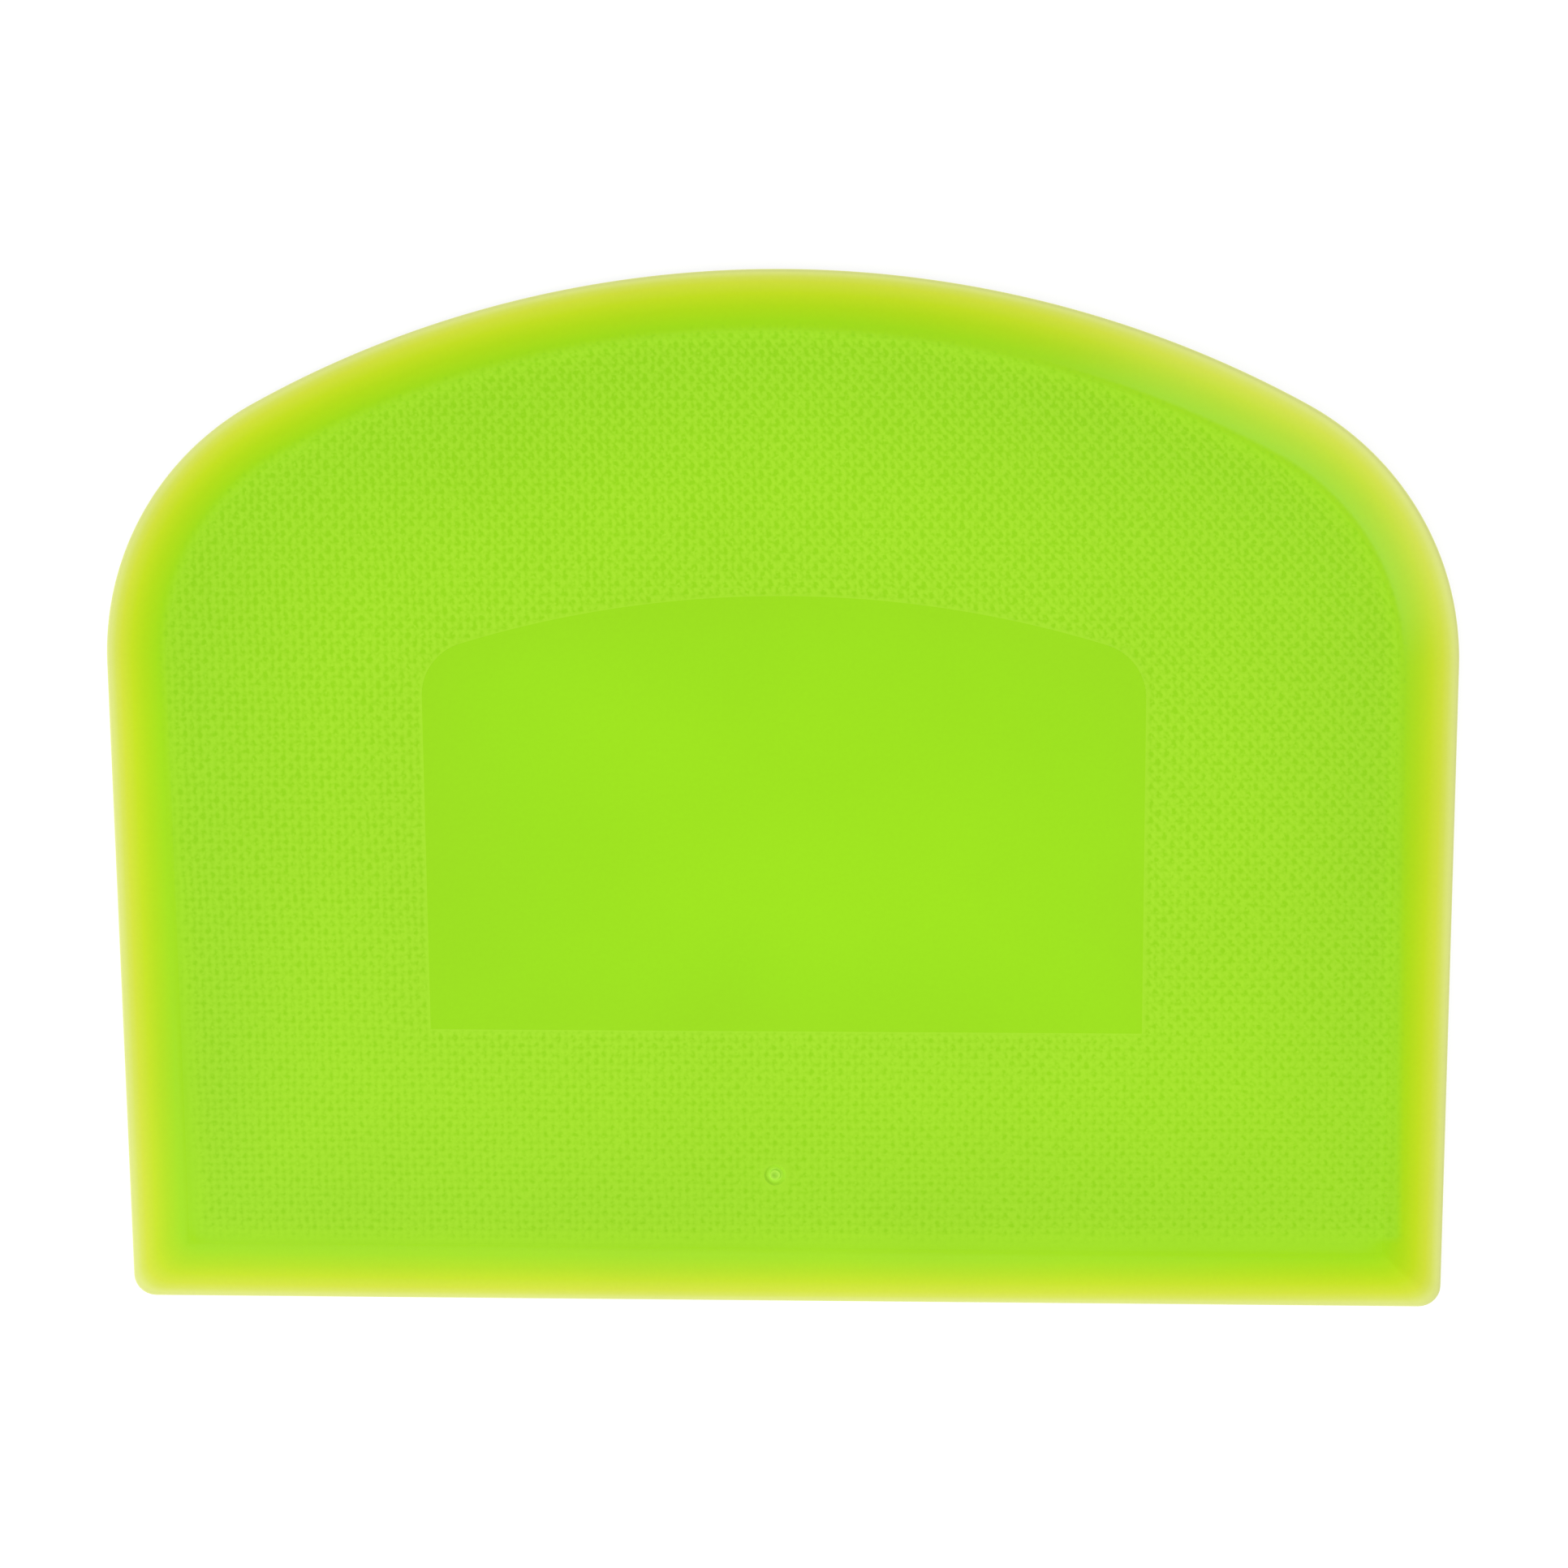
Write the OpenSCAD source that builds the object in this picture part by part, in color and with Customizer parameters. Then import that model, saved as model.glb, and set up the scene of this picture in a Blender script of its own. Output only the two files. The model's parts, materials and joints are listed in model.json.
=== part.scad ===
// Flexible bowl scraper: a D-shaped plate with a bevelled edge all round.
// The plate lies flat. +X is to the right, +Y towards the curved edge and +Z up
// through the thickness. The origin is the middle of the underside.
// The real object is one moulding. Each zone of it is a module here, and
// the zones meet face to face.

/* [Outline] */
// Width across the two straight sides
width = 120.65; // [110:0.05:130]
// Height from the straight edge to the top of the dome
height = 95.25; // [90:0.05:100]
// Radius of the dome
dome_r = 96.8; // [90:0.1:105]
// Radius of each shoulder
shoulder_r = 26.7; // [20:0.1:32]
// Radius of each bottom corner
corner_r = 2; // [0.5:0.1:4]

/* [Section] */
// Thickness of the grip plate
plate_t = 2; // [1.6:0.1:2.6]
// Thickness left at the scraping edge
edge_t = 0.6; // [0.4:0.1:1]
// Width of the bevel, measured in from the outline
bevel_w = 5.5; // [4:0.1:8]

/* [Smooth panel] */
// Width of the panel
panel_w = 64.6; // [50:0.1:70]
// Height of the panel at its middle
panel_h = 40.2; // [34:0.1:44]
// Distance of the panel's middle from the middle of the plate
panel_x = 0.4; // [-1:0.1:1]
// Height of the panel's bottom edge above the straight edge
panel_rise = 26.2; // [20:0.1:30]
// Radius of the panel's arched top
panel_arch_r = 97; // [80:1:120]
// Radius of the panel's two top corners
panel_corner_r = 5; // [2:0.5:8]
// Depth of the panel's zone below the plate's face
panel_t = 0.4; // [0.2:0.1:0.8]

/* [Gate mark] */
// Distance of the gate mark from the middle of the plate
gate_x = -0.6; // [-3:0.1:3]
// Height of the gate mark above the straight edge
gate_rise = 12.5; // [10:0.1:18]
// Radius of the shallow dish around the gate's stub, at the face
dish_r = 1; // [0.8:0.1:2]
// Depth of the dish
dish_depth = 0.15; // [0.1:0.05:0.3]
// Radius of the stub
stub_r = 0.5; // [0.3:0.1:0.6]

/* [Hidden] */
$fn = 180;

half_w = width / 2;
bottom_y = -height / 2;
// The dome's centre is on the middle line, and each shoulder's arc is tangent to
// the dome and to the straight side.
dome_y = height / 2 - dome_r;
shoulder_x = half_w - shoulder_r;
shoulder_y = dome_y + sqrt(pow(dome_r - shoulder_r, 2) - pow(shoulder_x, 2));
// Direction of the line through both centres, where the two arcs join
join_a = atan2(shoulder_y - dome_y, shoulder_x);
edge_low = (plate_t - edge_t) / 2;
edge_high = edge_low + edge_t;
stub_base_r = 0.8 * dish_r;
crater_r = stub_r / 2;
crater_depth = dish_depth / 2;
// Cutters run this far past the faces they open
spare = 0.1;

lime = [0.62, 0.88, 0.17];
bright_lime = [0.61, 0.9, 0.13];
edge_yellow = [0.84, 0.91, 0.32];
pale_lime = [0.72, 0.94, 0.35];

// A dome of radius top_r over two shoulder arcs, straight sides and a straight base.
// half is half of the width, and the outline runs from base_y up to top_y.
module dome_outline(half, base_y, top_y, top_r, side_r) {
    side_x = half - side_r;
    centre_y = top_y - top_r;
    side_y = centre_y + sqrt(pow(top_r - side_r, 2) - pow(side_x, 2));
    slope = side_x / (side_y - centre_y);
    reach = top_y - side_y + 1;
    intersection() {
        translate([0, centre_y]) circle(r = top_r);
        polygon([[-side_x, side_y], [side_x, side_y], [side_x + slope * reach, side_y + reach],
            [-side_x - slope * reach, side_y + reach]]);
    }
    for (side = [-1, 1]) intersection() {
        translate([side * side_x, side_y]) circle(r = side_r);
        polygon([[side * side_x, side_y], [side * half, side_y], [side * half, top_y],
            [side * (side_x + slope * (top_y - side_y)), top_y]]);
    }
    translate([-half, base_y]) square([2 * half, side_y - base_y]);
}

// Section across the bevelled edge: x is 0 at the outline and negative inwards, y is up.
module bevel_section() {
    polygon([[-bevel_w, 0], [0, edge_low], [0, edge_high], [-bevel_w, plate_t]]);
}

// The bevelled edge swept round an arc of radius r from angle a to angle b.
module bevel_arc(r, a, b) {
    rotate([0, 0, a]) rotate_extrude(angle = b - a) translate([r, 0]) bevel_section();
}

module panel_outline() {
    translate([panel_x, 0])
        dome_outline(panel_w / 2, bottom_y + panel_rise, bottom_y + panel_rise + panel_h,
            panel_arch_r, panel_corner_r);
}

// Flat textured plate inside the bevel, with a shallow seat for the smooth panel
// and a small dish for the gate mark.
module grip_plate() {
    color(lime) difference() {
        linear_extrude(plate_t)
            dome_outline(half_w - bevel_w, bottom_y + bevel_w, height / 2 - bevel_w,
                dome_r - bevel_w, shoulder_r - bevel_w);
        translate([0, 0, plate_t - panel_t]) linear_extrude(panel_t + spare) panel_outline();
        translate([gate_x, bottom_y + gate_rise, plate_t - dish_depth])
            cylinder(h = dish_depth, r1 = stub_base_r, r2 = dish_r);
    }
}

// Untextured panel in the middle of the face, level with it. It is left bare.
module smooth_panel() {
    color(bright_lime) translate([0, 0, plate_t - panel_t]) linear_extrude(panel_t)
        panel_outline();
}

// Bevelled edge of the dome, which scrapes the sides of wide bowls.
module dome_blade() {
    color(edge_yellow) translate([0, dome_y, 0]) bevel_arc(dome_r, join_a, 180 - join_a);
}

// Bevelled edge of one shoulder, which scrapes tighter curves. side is 1 or -1.
module shoulder(side) {
    color(edge_yellow) mirror([side > 0 ? 0 : 1, 0, 0])
        translate([shoulder_x, shoulder_y, 0]) bevel_arc(shoulder_r, 0, join_a);
}

module left_shoulder() {
    shoulder(-1);
}

module right_shoulder() {
    shoulder(1);
}

// Bevelled straight edge with its two rounded corners, which scrapes flat boards.
module straight_blade() {
    color(edge_yellow) translate([0, bottom_y, 0]) intersection() {
        translate([half_w, 0, 0]) rotate([90, 0, -90]) linear_extrude(width) bevel_section();
        translate([0, bevel_w, 0]) rotate([90, 0, 0]) linear_extrude(bevel_w)
            polygon([[-half_w, edge_low], [bevel_w - half_w, 0], [half_w - bevel_w, 0],
                [half_w, edge_low], [half_w, edge_high], [half_w - bevel_w, plate_t],
                [bevel_w - half_w, plate_t], [-half_w, edge_high]]);
        linear_extrude(plate_t) {
            translate([-half_w, corner_r]) square([width, bevel_w - corner_r]);
            translate([corner_r - half_w, 0]) square([width - 2 * corner_r, bevel_w]);
            for (side = [-1, 1]) translate([side * (half_w - corner_r), corner_r])
                circle(r = corner_r);
        }
    }
}

// Bevelled straight side between the bottom strip and the shoulder. side is 1 or -1.
module side_edge(side) {
    color(edge_yellow) mirror([side > 0 ? 0 : 1, 0, 0])
        translate([half_w, shoulder_y, 0]) rotate([90, 0, 0])
            linear_extrude(shoulder_y - bottom_y - bevel_w) bevel_section();
}

module left_edge() {
    side_edge(-1);
}

module right_edge() {
    side_edge(1);
}

// Stub that the moulding gate leaves, with a small crater where it tore off.
module gate_stub() {
    color(pale_lime) translate([gate_x, bottom_y + gate_rise, plate_t - dish_depth])
        rotate_extrude()
            polygon([[0, 0], [stub_r, 0], [stub_r, dish_depth], [crater_r, dish_depth],
                [0, dish_depth - crater_depth]]);
}

grip_plate();
smooth_panel();
dome_blade();
left_shoulder();
right_shoulder();
left_edge();
right_edge();
straight_blade();
gate_stub();
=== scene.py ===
# %% [markdown]
# # A flexible bowl scraper
# The real object is a single injection moulding: a D-shaped plate of translucent lime-green plastic. Its
# edge is bevelled thin all round, its face is covered in fine dimples, and one smooth panel is left bare in
# the middle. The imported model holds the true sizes. This lesson dresses each zone of it with a surface
# worked out in numpy.

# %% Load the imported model
import json
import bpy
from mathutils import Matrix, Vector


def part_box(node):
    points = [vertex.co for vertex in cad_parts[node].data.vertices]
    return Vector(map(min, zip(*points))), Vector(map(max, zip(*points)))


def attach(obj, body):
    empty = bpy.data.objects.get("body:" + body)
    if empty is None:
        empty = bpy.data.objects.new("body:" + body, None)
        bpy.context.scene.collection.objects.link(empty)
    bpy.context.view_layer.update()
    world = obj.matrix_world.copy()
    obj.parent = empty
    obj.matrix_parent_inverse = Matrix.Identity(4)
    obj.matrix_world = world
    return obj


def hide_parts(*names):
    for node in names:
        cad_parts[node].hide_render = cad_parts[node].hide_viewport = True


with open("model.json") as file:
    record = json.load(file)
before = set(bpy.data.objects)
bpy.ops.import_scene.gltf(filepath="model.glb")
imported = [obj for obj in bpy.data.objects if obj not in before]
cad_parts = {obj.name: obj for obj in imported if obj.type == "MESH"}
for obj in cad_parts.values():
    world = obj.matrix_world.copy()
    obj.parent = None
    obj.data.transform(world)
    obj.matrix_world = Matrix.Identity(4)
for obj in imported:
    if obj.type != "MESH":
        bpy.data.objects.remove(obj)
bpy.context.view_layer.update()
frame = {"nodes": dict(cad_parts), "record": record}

from types import SimpleNamespace

import bmesh
import bpy
import numpy as np
from mathutils import Matrix, Vector

print("CAD nodes:", ", ".join(sorted(frame["nodes"])))

# %% [markdown]
# ## Sizes
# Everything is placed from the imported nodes, so the looks can't drift away from the solids. The plate's own
# size comes from the record, the bevel's width from a side edge, and the panel and the gate mark from their
# nodes. Only what a box can't tell, such as a radius, is written out here.

# %% Sizes of the plate
MM = 0.001
plate_w, plate_h, plate_t = frame["record"]["size"]["bbox_m"]
half_w, half_h, mid_z = plate_w / 2, plate_h / 2, plate_t / 2
side_low, side_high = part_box("right_edge")
bevel_w = side_high.x - side_low.x
DOME_R = 96.8 * MM
SHOULDER_R = 26.7 * MM
CORNER_R = 2 * MM
EDGE_T = 0.6 * MM
print(f"plate {plate_w / MM:.2f} x {plate_h / MM:.2f} x {plate_t / MM:.2f} mm")
print(f"bevel {bevel_w / MM:.2f} mm wide")

# %% [markdown]
# ## The outline
# The plate and its panel are the same kind of shape: a dome over two shoulder arcs, with straight sides and
# a straight base. Tracing it point by point would give a lumpy line. Four sizes and the rule that the arcs
# are tangent give the whole of it, and the distance in from the edge as well, which everything below is
# built on.

# %% A D shape and the distance in from its edge
def dome_shape(x, half, base, top, dome_r, shoulder_r):
    """A D centred on x. Each shoulder's centre lies dome_r - shoulder_r from the dome's centre and
    shoulder_r in from the side, so the arcs are tangent. lean is the angle from +Y of the line through both
    centres."""
    dome_y = top - dome_r
    shoulder_x = half - shoulder_r
    rise = np.sqrt((dome_r - shoulder_r) ** 2 - shoulder_x ** 2)
    return SimpleNamespace(x=x, half=half, base=base, dome_y=dome_y, dome_r=dome_r, shoulder_r=shoulder_r,
                           shoulder_x=shoulder_x, shoulder_y=dome_y + rise, lean=np.arctan2(shoulder_x, rise))


def depth_inside(d, x, y):
    """Distance in from the edge of D d, negative outside it: the smaller of the distance to the base and the
    distance to the side, the shoulder arc or the dome, whichever the point faces."""
    across = np.abs(x - d.x)
    past_x, past_y = across - d.shoulder_x, y - d.shoulder_y
    shoulder = d.shoulder_r - np.hypot(past_x, past_y)
    dome = d.dome_r - np.hypot(across, y - d.dome_y)
    arcs = np.where(past_x * np.cos(d.lean) > past_y * np.sin(d.lean), shoulder, dome)
    return np.minimum(np.where(past_y > 0, arcs, d.half - across), y - d.base)


outline = dome_shape(0, half_w, -half_h, half_h, DOME_R, SHOULDER_R)
flat = dome_shape(0, half_w - bevel_w, bevel_w - half_h, half_h - bevel_w,
                  DOME_R - bevel_w, SHOULDER_R - bevel_w)
print(f"the dome turns into the shoulders {np.degrees(outline.lean):.1f} degrees from the middle line")

# %% [markdown]
# ## Turning arrays into meshes
# Each piece is made of arrays of corners and faces. Blender takes them fastest through foreach_set, with no
# loop in Python. Faces that meet at a steep angle keep a crisp edge, and the rest are shaded smooth.

# %% Make a piece from arrays
CRISP_ANGLE = np.radians(35)
WELD = 1e-7


def new_piece(name, points, faces, weld=False, **values):
    """faces is a list of index arrays, each with one row per face. values are named numbers, one per point,
    that the materials read. weld joins points that coincide, where a fan of faces closes on one corner."""
    mesh = bpy.data.meshes.new(name)
    corners = np.concatenate([f.ravel() for f in faces]).astype(np.int32)
    sizes = np.concatenate([np.full(len(f), f.shape[1]) for f in faces])
    mesh.vertices.add(len(points))
    mesh.vertices.foreach_set("co", np.asarray(points, np.float32).ravel())
    mesh.loops.add(len(corners))
    mesh.loops.foreach_set("vertex_index", corners)
    mesh.polygons.add(len(sizes))
    mesh.polygons.foreach_set("loop_start", (np.cumsum(sizes) - sizes).astype(np.int32))
    mesh.polygons.foreach_set("use_smooth", np.ones(len(sizes), bool))
    for key, numbers in values.items():
        mesh.attributes.new(key, "FLOAT", "POINT").data.foreach_set("value", np.asarray(numbers, np.float32))
    mesh.update(calc_edges=True)
    if weld:
        work = bmesh.new()
        work.from_mesh(mesh)
        bmesh.ops.remove_doubles(work, verts=work.verts, dist=WELD)
        work.to_mesh(mesh)
        work.free()
    mesh.set_sharp_from_angle(angle=CRISP_ANGLE)
    piece = bpy.data.objects.new(name, mesh)
    bpy.context.scene.collection.objects.link(piece)
    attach(piece, "root")
    return piece


def report(piece):
    """Prints how many triangles a piece has and how many of its edges don't have exactly two faces."""
    mesh = piece.data
    mesh.calc_loop_triangles()
    edges = np.empty(len(mesh.loops), np.int32)
    mesh.loops.foreach_get("edge_index", edges)
    uses = np.bincount(edges, minlength=len(mesh.edges))
    print(f"{piece.name}: {len(mesh.loop_triangles)} triangles, {np.count_nonzero(uses != 2)} open edges")


# %% [markdown]
# ## The dimples
# The grip face is covered in fine dimples in staggered rows. They could be bump mapping, but then the mesh
# would be a bare sheet, so they are real. Two crossed cosine waves give the staggered rows by themselves,
# and the waves of half the pitch give the shallower dimples between them and a steeper side to each. Four
# points per wave, set on the wave's own crests and crossings, are the fewest that still carry its slopes.
# The dimples are shallower towards the straight blade and deeper towards the dome, and they fade out before a
# smooth zone. They also turn slowly from a fine square grid at the lower left to bold diamonds at the upper
# right, so each wave's weight changes with place. Both make the dimples' painted shade stronger at the top
# and the upper right, where it stands in for the glints of the lamps there.

# %% The dimple pattern
DIMPLE_PITCH_X = 1.352 * MM
DIMPLE_PITCH_Y = 1.525 * MM
DIMPLE_DEPTH = 0.07 * MM
DIMPLE_MEAN = 0.4
# The rightwards and upwards shares strengthen the painted pit shade towards the upper right, in place of the
# lamps' glints
DIMPLE_WAVES = [(0.16, 0.25, 0.2, 1, 1, 180),
                (0.18, 0.15, 0.1, 1, -1, 180),
                (0.235, -0.15, 0.0, 2, 0, -35),
                (0.155, -0.1, -0.45, 0, 2, 53),
                (0.11, 0.75, 0.75, 2, 2, -90)]
# Dimples and their painted shade grow stronger upwards, in place of the lamps' glints
DEEPER_UPWARDS = 0.007 / MM
POINTS_PER_WAVE = 4


def dimples(x, y):
    """About 0 on the ridges and 1 in the pits: a mean plus waves of weight cos(m X + n Y + phase), where X
    and Y are 2 pi times the place in pitches. Each wave is given as (weight, rightwards, upwards, m, n,
    phase in degrees), and its weight grows by those two shares from the middle to the right side and to the
    top."""
    across, up = 2 * np.pi * x / DIMPLE_PITCH_X, 2 * np.pi * y / DIMPLE_PITCH_Y
    waves = [weight * (1 + rightwards * x / half_w + upwards * y / half_h)
             * np.cos(m * across + n * up + np.radians(phase))
             for weight, rightwards, upwards, m, n, phase in DIMPLE_WAVES]
    return np.maximum(DIMPLE_MEAN + sum(waves), 0)


def fade(depth, rise):
    """0 at an edge and 1 from the distance rise inwards, with an S-shaped climb between."""
    t = np.clip(depth / rise, 0, 1)
    return t * t * (3 - 2 * t)


def wave_steps(reach, pitch):
    """Grid lines at every quarter of a pitch, from -reach to reach."""
    step = pitch / POINTS_PER_WAVE
    count = int(np.ceil(reach / step)) + 1
    return np.arange(-count, count + 1) * step


columns = wave_steps(flat.half, DIMPLE_PITCH_X)
rows = wave_steps(half_h - bevel_w, DIMPLE_PITCH_Y)
print(f"grid of {len(columns)} by {len(rows)} points")

# %% [markdown]
# ## Where the dimples end
# On the real scraper the dimples don't stop exactly where the bevel starts. Their border was masked by hand:
# it runs up to a millimetre over the bevel at the lower right, and stays short of it along the straight
# blade. A fixed distance, a small twist and a small slope give that border. Colour and relief both follow
# it.

# %% The border of the dimples
MASK_INSET = 5.2 * MM
MASK_TWIST = 2600 * MM
MASK_LEVEL_Y = 14.6 * MM
MASK_BASE = 6.2 * MM
MASK_SLOPE = 0.01
MASK_LEAD = 1.0 * MM
MASK_FADE = 2.4 * MM


def mask_depth(x, y):
    """Distance in from the border of the dimples: the distance in from the edge less the inset, which
    changes by x (y - level) / twist, or the distance up from the sloping border along the base if that is
    less."""
    sides = depth_inside(outline, x, y) - MASK_INSET - x * (y - MASK_LEVEL_Y) / MASK_TWIST
    base = y + half_h - MASK_BASE - MASK_SLOPE * x
    return np.minimum(sides, base)


def strength(x, y):
    """Strength of the dimples, which rises from 0 a little outside their border to about 1 inside it."""
    return fade(mask_depth(x, y) + MASK_LEAD, MASK_FADE) * (1 + DEEPER_UPWARDS * y)


for name, place_y in (("bottom", bevel_w - half_h), ("middle", 0), ("top", half_h - bevel_w)):
    print(f"strength of the dimples at the {name}: {strength(0, place_y):.2f}")

# %% [markdown]
# ## How thin the plastic is
# The colour follows the thickness of the plastic, and so the distance in from the edge. At a corner the two
# sides' distances are blended, or a crease would show in the colour. The real plate isn't equally thick all
# round: it is a touch thicker at the middle of the dome and thinner at the sides, so the distance is shifted
# a little there.

# %% The distance that the colour follows
CORNER_BLEND = 2.5 * MM
THICKER_MIDDLE = 0.15 * MM
THINNER_SIDES = 0.4 * MM
THINNER_RIGHT = 0.05 * MM
THIN_RIM = 1 * MM
THIN_REACH = 6.2 * MM


def thin_depth(x, y):
    """The distance in from the edge, with the two sides of a corner blended: min(a, b) less the square of
    how far their difference falls short of the blend, over four times the blend. Past the thin rim it is
    shifted by an amount that depends on x and its square."""
    base = y + half_h
    side = np.where(y > outline.shoulder_y, depth_inside(outline, x, y), half_w - np.abs(x))
    short = np.maximum(CORNER_BLEND - np.abs(side - base), 0)
    inset = np.minimum(side, base) - short ** 2 / (4 * CORNER_BLEND)
    shift = THICKER_MIDDLE - THINNER_SIDES * (x / half_w) ** 2 - THINNER_RIGHT * x / half_w
    return np.clip(inset + shift * np.clip(inset / THIN_RIM, 0, 1), 0, THIN_REACH)


for name, place_x, place_y in (("dome", 0, half_h - bevel_w), ("right side", half_w - bevel_w, 0)):
    print(f"{bevel_w / MM:.2f} mm in from the {name} counts as {thin_depth(place_x, place_y) / MM:.2f} mm")

# %% [markdown]
# ## Trimming a grid to an outline
# A square grid laid over a D has a stepped edge. Cutting it with a boolean is slow and leaves slivers. Here
# every point outside the outline slides straight to it, along the slope of the distance, and a face is kept
# if any of its corners was inside. The edge then follows the true arcs, and the waves inside stay where they
# were.

# %% Trim a grid
PROBE = 1e-6
SETTLING_PASSES = 3


def pull_to_edge(depth, x, y):
    """Points outside move by their distance, along its slope. The later passes settle points past a
    corner."""
    for _ in range(SETTLING_PASSES):
        outside = np.minimum(depth(x, y), 0)
        slope_x = (depth(x + PROBE, y) - depth(x - PROBE, y)) / (2 * PROBE)
        slope_y = (depth(x, y + PROBE) - depth(x, y - PROBE)) / (2 * PROBE)
        x, y = x - outside * slope_x, y - outside * slope_y
    return x, y


def trimmed_grid(depth, hole_corners=()):
    """The grid's points and faces where depth is positive. The nearest trimmed point moves onto each corner
    of a hole, which a straight slide would miss."""
    x, y = np.meshgrid(columns, rows)
    inside = depth(x, y) > 0
    x, y = pull_to_edge(depth, x, y)
    for corner_x, corner_y in hole_corners:
        away = np.where(inside, np.inf, np.hypot(x - corner_x, y - corner_y))
        nearest = np.unravel_index(np.argmin(away), away.shape)
        x[nearest], y[nearest] = corner_x, corner_y
    kept = inside[:-1, :-1] | inside[:-1, 1:] | inside[1:, 1:] | inside[1:, :-1]
    row, column = np.nonzero(kept)
    first = row * len(columns) + column
    faces = np.stack([first, first + 1, first + len(columns) + 1, first + len(columns)], axis=1)
    used, faces = np.unique(faces, return_inverse=True)
    return x.ravel()[used], y.ravel()[used], faces.reshape(-1, 4)


# %% [markdown]
# ## From a sheet to a solid
# A trimmed sheet has no thickness. Each of its open edges gets a wall down to another level and a flat cap
# there, so the piece is closed like a real moulding: the outer edge goes to the middle of the plate, and the
# edges of the two seats go down to their floors.

# %% Close a sheet into a slab
def loose_edges(faces, count):
    """Edges that only one face has, in that face's direction."""
    start, end = faces.ravel(), np.roll(faces, -1, axis=1).ravel()
    key = np.minimum(start, end) * count + np.maximum(start, end)
    _, first, uses = np.unique(key, return_index=True, return_counts=True)
    single = first[uses == 1]
    return np.stack([start[single], end[single]], axis=1)


def closed_slab(x, y, z, faces, seats):
    """seats is a list of (centre_x, centre_y, belongs, level): belongs picks the points of one open edge,
    which is repeated at height level, joined by a wall and capped. The cap's corners are in order of their
    angle round the centre, which is the order along a convex edge."""
    points = np.stack([x, y, z], axis=1)
    edges = loose_edges(faces, len(x))
    parts = [faces]
    for centre_x, centre_y, belongs, level in seats:
        mine = edges[belongs[edges].all(axis=1)]
        rim, place = np.unique(mine, return_inverse=True)
        place = place.reshape(-1, 2) + len(points)
        parts.append(np.stack([mine[:, 1], mine[:, 0], place[:, 0], place[:, 1]], axis=1))
        angle = np.arctan2(y[rim] - centre_y, x[rim] - centre_x)
        # The open edge turns one way round the plate and the other way round a seat
        start_x, start_y = x[mine[:, 0]] - centre_x, y[mine[:, 0]] - centre_y
        end_x, end_y = x[mine[:, 1]] - centre_x, y[mine[:, 1]] - centre_y
        turn = (start_x * end_y - start_y * end_x).sum()
        order = np.argsort(angle if turn < 0 else -angle)
        parts.append((order + len(points))[None])
        points = np.concatenate([points, np.stack([x[rim], y[rim], np.full(len(rim), level)], axis=1)])
    return points, parts


# %% [markdown]
# ## The grip face
# The front half of the plate carries the dimples. The real moulding has no seats in it. Here the smooth
# panel and the gate mark are pieces of their own, so each gets a shallow seat, and the dimples fade out
# towards both.

# %% Seats in the grip face
PANEL_ARCH_R = 97 * MM
PANEL_CORNER_R = 5 * MM
GATE_R = 1.2 * MM
SEAT_FADE = 0.3 * MM
RELIEF_FADE = 0.3 * MM
panel_low, panel_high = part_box("smooth_panel")
gate_low, gate_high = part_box("gate_stub")
gate_x, gate_y = (gate_low.x + gate_high.x) / 2, (gate_low.y + gate_high.y) / 2
panel = dome_shape((panel_low.x + panel_high.x) / 2, (panel_high.x - panel_low.x) / 2, panel_low.y,
                   panel_high.y, PANEL_ARCH_R, PANEL_CORNER_R)
seat_z = panel_low.z
print(f"panel {2 * panel.half / MM:.1f} mm wide, seats {(plate_t - seat_z) / MM:.2f} mm deep")


def seat_distance(x, y):
    """Distance from the nearer seat, the panel's or the gate mark's."""
    return np.minimum(-depth_inside(panel, x, y), np.hypot(x - gate_x, y - gate_y) - GATE_R)


def grip_depth(x, y):
    """Distance from the nearest edge of the grip face, whether the bevel or a seat."""
    return np.minimum(depth_inside(flat, x, y), seat_distance(x, y))


def front_strength(x, y):
    """Strength of the dimples on the front, where they also fade out towards the seats."""
    return strength(x, y) * fade(seat_distance(x, y), SEAT_FADE)


def relief(x, y):
    """Depth of the surface below the face, which has to be nothing where the bevel meets it."""
    return DIMPLE_DEPTH * dimples(x, y) * fade(depth_inside(flat, x, y), RELIEF_FADE)


# %% [markdown]
# ## Building the grip face
# The grid is trimmed along the bevel and round both seats at once, and its points sink by the relief. Each
# point also carries three numbers for its colour: how thin the plastic is, how far the border of the dimples
# is, and how strong they are. A picture would do that too, but numbers at the points need no unwrapping.

# %% Build the grip face
ON_EDGE = 0.1 * MM
panel_corners = [(panel.x - panel.half, panel.base), (panel.x + panel.half, panel.base)]
x, y, faces = trimmed_grid(grip_depth, panel_corners)
z = plate_t - relief(x, y) * front_strength(x, y)
on_bevel = np.abs(depth_inside(flat, x, y)) < ON_EDGE
on_panel = np.abs(depth_inside(panel, x, y)) < ON_EDGE
on_gate = np.abs(np.hypot(x - gate_x, y - gate_y) - GATE_R) < ON_EDGE
panel_middle_y = (panel_low.y + panel_high.y) / 2
seats = [(0, 0, on_bevel, mid_z),
         (panel.x, panel_middle_y, on_panel, seat_z),
         (gate_x, gate_y, on_gate, seat_z)]
points, parts = closed_slab(x, y, z, faces, seats)
x, y = points[:, 0], points[:, 1]
grip_face = new_piece("grip_face", points, parts, inset=thin_depth(x, y), mask=mask_depth(x, y),
                      strength=front_strength(x, y))
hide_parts("grip_plate")
report(grip_face)

# %% [markdown]
# ## The grip back
# The photograph doesn't show the back. Such scrapers are often textured on both sides, which lets wet hands
# hold them, so the back half of the plate has the same dimples all over. It is the same sheet turned over:
# the heights run up from the underside, and the faces are wound the other way.

# %% Build the grip back
def back_depth(x, y):
    """Distance in from the bevel on the underside."""
    return depth_inside(flat, x, y)


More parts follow.
